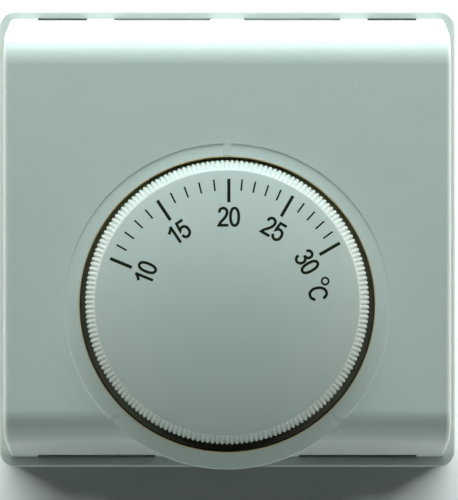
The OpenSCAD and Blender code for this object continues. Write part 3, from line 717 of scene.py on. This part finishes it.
class Print:
    """Ink strokes of even width, each a thin closed mesh on the dome."""

    def __init__(self):
        self.points, self.faces = [], []

    def stroke(self, line, width, angle, radius, shift=0.0):
        closed = math.dist(line[0], line[-1]) < 1e-6
        line = short_steps(line)
        if closed:
            line = line[:-1]
        count = len(line)
        start = len(self.points)
        for i, p in enumerate(line):
            before = line[i - 1] if closed or i else None
            after = line[(i + 1) % count] if closed or i < count - 1 else None
            ways = []
            for a, b in ((before, p), (p, after)):
                if a is not None and b is not None:
                    d = math.dist(a, b)
                    ways.append(((b[0] - a[0]) / d, (b[1] - a[1]) / d))
            if len(ways) == 1:
                ways.append(ways[0])
            nx, ny = -(ways[0][1] + ways[1][1]), ways[0][0] + ways[1][0]
            size = math.hypot(nx, ny)
            nx, ny = nx / size, ny / size
            reach = width / 2 / max(0.45, nx * -ways[0][1] + ny * ways[0][0])
            for side in (1, -1):
                x, up, out = on_dial(p[0] + shift + side * nx * reach, p[1] + side * ny * reach, angle, radius)
                self.points.append((x, up, out + INK_T))
                self.points.append((x, up, out - INK_T))
        for i in range(count if closed else count - 1):
            a, b = start + 4 * i, start + 4 * ((i + 1) % count)
            self.faces += [(a, b, b + 2, a + 2), (a + 1, a + 3, b + 3, b + 1), (a, a + 1, b + 1, b),
                           (a + 2, b + 2, b + 3, a + 3)]
        if not closed:
            last = start + 4 * (count - 1)
            self.faces += [(start, start + 2, start + 3, start + 1), (last, last + 1, last + 3, last + 2)]


GLYPHS = {
    "0": [ring_line(0.73, 1.55, power=2.3)],
    "1": [[(0.33, -1.78), (0.33, 1.62)],
          curve([(0.36, 1.52), (0.02, 1.08), (-0.3, 0.82), (-0.62, 0.6)])],
    "2": [curve([(-0.68, 0.72), (-0.52, 1.28), (0.03, 1.56), (0.58, 1.28), (0.71, 0.76), (0.5, 0.12),
                 (0.06, -0.45), (-0.42, -0.97), (-0.72, -1.5)]) + [(0.96, -1.5)]],
    "3": [curve([(-0.72, 0.86), (-0.5, 1.36), (0.02, 1.55), (0.5, 1.3), (0.6, 0.8), (0.32, 0.33),
                 (-0.22, 0.16)]),
          curve([(-0.22, 0.16), (0.4, 0.02), (0.74, -0.42), (0.7, -1.0), (0.4, -1.4), (-0.06, -1.54),
                 (-0.55, -1.28), (-0.78, -0.74)])],
    "5": [curve([(-0.76, -0.82), (-0.52, -1.32), (0.02, -1.54), (0.58, -1.2), (0.76, -0.52), (0.54, 0.16),
                 (-0.02, 0.4), (-0.4, 0.28), (-0.68, -0.02)]) + [(-0.5, 1.44), (0.76, 1.44)]],
    "C": [ring_line(1.06, 1.5, 29, 336, 2.1)],
}
PAIR = 2.05


def build_scale():
    ink = Print()
    for celsius in range(10, 31):
        major = celsius % 5 == 0
        length, width = MAJOR_MARK if major else MINOR_MARK
        ink.stroke([(0, -length), (0, 0)], width, scale_angle(celsius), SCALE_R)
        if major:
            for i, digit in enumerate(str(celsius)):
                for line in GLYPHS[digit]:
                    ink.stroke(line, STROKE, scale_angle(celsius), NUMBER_R, (i - 0.5) * PAIR)
    ink.stroke(ring_line(0.61, 0.61), 0.34, *DEGREE_AT)
    for line in GLYPHS["C"]:
        ink.stroke(line, STROKE, *LETTER_AT)
    scale = mesh_object("scale_print", ink.points, ink.faces)
    dress(scale, INK)
    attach(scale, "dial")
    return scale


build_cover()
build_base()
build_knob()
build_scale()


# ---------------------------------------------------------------- stage, lights and camera
def sheet_of(name, corners, colour, other, one_sided=False):
    mesh = bpy.data.meshes.new(name)
    mesh.from_pydata(corners, [], [(0, 1, 2, 3)])
    obj = bpy.data.objects.new(name, mesh)
    bpy.context.scene.collection.objects.link(obj)
    material = plastic(name, colour, other, (0.75, 0.85), 0.0006, 0.000005, 8, 0.2)
    if one_sided:
        nodes, links = material.node_tree.nodes, material.node_tree.links
        out = next(n for n in nodes if n.type == "OUTPUT_MATERIAL")
        shader = next(n for n in nodes if n.type == "BSDF_PRINCIPLED")
        clear = nodes.new("ShaderNodeBsdfTransparent")
        side = nodes.new("ShaderNodeNewGeometry")
        mix = nodes.new("ShaderNodeMixShader")
        links.new(side.outputs["Backfacing"], mix.inputs["Fac"])
        links.new(shader.outputs["BSDF"], mix.inputs[1])
        links.new(clear.outputs["BSDF"], mix.inputs[2])
        links.new(mix.outputs["Shader"], out.inputs["Surface"])
    dress(obj, material)
    return obj


FLOOR_Z = -1.2
REACH = 3.0
floor = sheet_of("floor", [(-REACH, -REACH, FLOOR_Z), (REACH, -REACH, FLOOR_Z), (REACH, REACH, FLOOR_Z),
                           (-REACH, REACH, FLOOR_Z)], (0.74, 0.77, 0.76), (0.78, 0.8, 0.79))
WALL_Y = 0.0003
WALL_HALF = 0.6
wall = sheet_of("wall", [(-WALL_HALF, WALL_Y, FLOOR_Z), (WALL_HALF, WALL_Y, FLOOR_Z),
                         (WALL_HALF, WALL_Y, WALL_HALF), (-WALL_HALF, WALL_Y, WALL_HALF)],
                (0.89, 0.9, 0.9), (0.92, 0.93, 0.93), one_sided=True)
wall.visible_shadow = False     # light from behind reaches the back of the base
floor.visible_diffuse = False   # the floor is far below and adds no light to the object
floor.visible_glossy = False


def lit_group(name, obj, state):
    """Light group that holds one object: INCLUDE lights nothing else, EXCLUDE lights all but that."""
    group = bpy.data.collections.new(name)
    group.objects.link(obj)
    group.collection_objects[0].light_linking.link_state = state
    return group


WALL_ONLY = lit_group("wall_only", wall, "INCLUDE")
ALL_BUT_WALL = lit_group("all_but_wall", wall, "EXCLUDE")
FLOOR_ONLY = lit_group("floor_only", floor, "INCLUDE")


def area_light(name, at, toward, size, power, colour, group=None):
    data = bpy.data.lights.new(name, "AREA")
    data.shape = "RECTANGLE"
    data.size, data.size_y = size
    data.energy = power
    data.color = colour
    obj = bpy.data.objects.new(name, data)
    obj.location = at
    obj.rotation_euler = (Vector(toward) - Vector(at)).to_track_quat("-Z", "Y").to_euler()
    obj.visible_camera = False
    obj.light_linking.receiver_collection = group or ALL_BUT_WALL
    bpy.context.scene.collection.objects.link(obj)
    return obj


MIDDLE = (0, -0.03, 0)
COOL, GREENISH, WARM = (0.8, 0.95, 1.0), (0.8, 1.0, 0.92), (1.0, 0.97, 0.88)


def in_front(distance, rise):
    """Place at a distance from the middle of the front, rise degrees above the level."""
    angle = math.radians(rise)
    return (0, MIDDLE[1] - distance * math.cos(angle), MIDDLE[2] + distance * math.sin(angle))


area_light("key_near", in_front(0.35, 75), MIDDLE, (0.4, 0.1), 0.65, COOL)
area_light("key_far", in_front(0.5, 70), MIDDLE, (0.6, 0.12), 0.65, COOL)
area_light("front_high", in_front(0.9, 60), MIDDLE, (0.9, 0.3), 1.5, GREENISH)
area_light("front_low", in_front(0.9, 20), MIDDLE, (0.9, 0.3), 1.9, GREENISH)
area_light("below", in_front(0.9, -75), MIDDLE, (0.9, 0.3), 1.1, GREENISH)
SIDE_OF_WALL = (0, -0.006, 0)
area_light("top_edge", (0, -0.012, 0.16), SIDE_OF_WALL, (0.9, 0.02), 0.15, WARM)
area_light("left_edge", (-0.3, -0.02, 0.05), SIDE_OF_WALL, (0.03, 0.3), 0.3, WARM)
area_light("right_edge", (0.3, -0.02, 0.05), SIDE_OF_WALL, (0.03, 0.3), 0.35, WARM)
LOW_WALL = (0, 0, -0.03)
WALL_WHITE = (0.92, 1.0, 1.0)
area_light("wall_top", (0, -0.3, 0.3), LOW_WALL, (0.8, 0.1), 4.0, WALL_WHITE, WALL_ONLY)
area_light("wall_left", (-0.6, -0.5, 0.35), LOW_WALL, (0.2, 0.2), 2.0, WALL_WHITE, WALL_ONLY)
area_light("wall_right", (0.6, -0.5, 0.35), LOW_WALL, (0.2, 0.2), 2.5, WALL_WHITE, WALL_ONLY)
sun = bpy.data.objects.new("floor_sun", bpy.data.lights.new("floor_sun", "SUN"))
sun.data.energy = 2.4
sun.data.color = (0.95, 1.0, 1.0)
sun.light_linking.receiver_collection = FLOOR_ONLY
bpy.context.scene.collection.objects.link(sun)
area_light("rear", (0.4, 1.0, 0.4), (0, 0, 0), (1.0, 1.0), 4.0, (0.95, 1.0, 1.0))

# The world is pale where the camera sees it, and adds little light.
world = bpy.data.worlds.new("studio")
world.use_nodes = True
world_nodes, world_links = world.node_tree.nodes, world.node_tree.links
sky = world_nodes["Background"]
sky.inputs["Color"].default_value = (0.8, 0.97, 0.93, 1)
sky.inputs["Strength"].default_value = 0.006
backdrop = world_nodes.new("ShaderNodeBackground")
backdrop.inputs["Color"].default_value = (0.8, 0.86, 0.85, 1)
backdrop.inputs["Strength"].default_value = 0.9
ray = world_nodes.new("ShaderNodeLightPath")
either = world_nodes.new("ShaderNodeMixShader")
world_links.new(ray.outputs["Is Camera Ray"], either.inputs["Fac"])
world_links.new(sky.outputs["Background"], either.inputs[1])
world_links.new(backdrop.outputs["Background"], either.inputs[2])
world_links.new(either.outputs["Shader"], world_nodes["World Output"].inputs["Surface"])
bpy.context.scene.world = world

SENSOR_MM, LENS_MM = 36.0, 273.6
CAMERA_AT = (0.00033, -0.7095, -0.00206)
scene = bpy.context.scene
scene.view_settings.view_transform = "Standard"
scene.view_settings.look = "None"
camera_data = bpy.data.cameras.new("camera")
camera_data.sensor_width = SENSOR_MM
camera_data.lens = LENS_MM
camera_data.clip_start, camera_data.clip_end = 0.01, 20
camera = bpy.data.objects.new("camera", camera_data)
camera.location = CAMERA_AT
camera.rotation_euler = (math.radians(90), 0, 0)
scene.collection.objects.link(camera)
scene.camera = camera
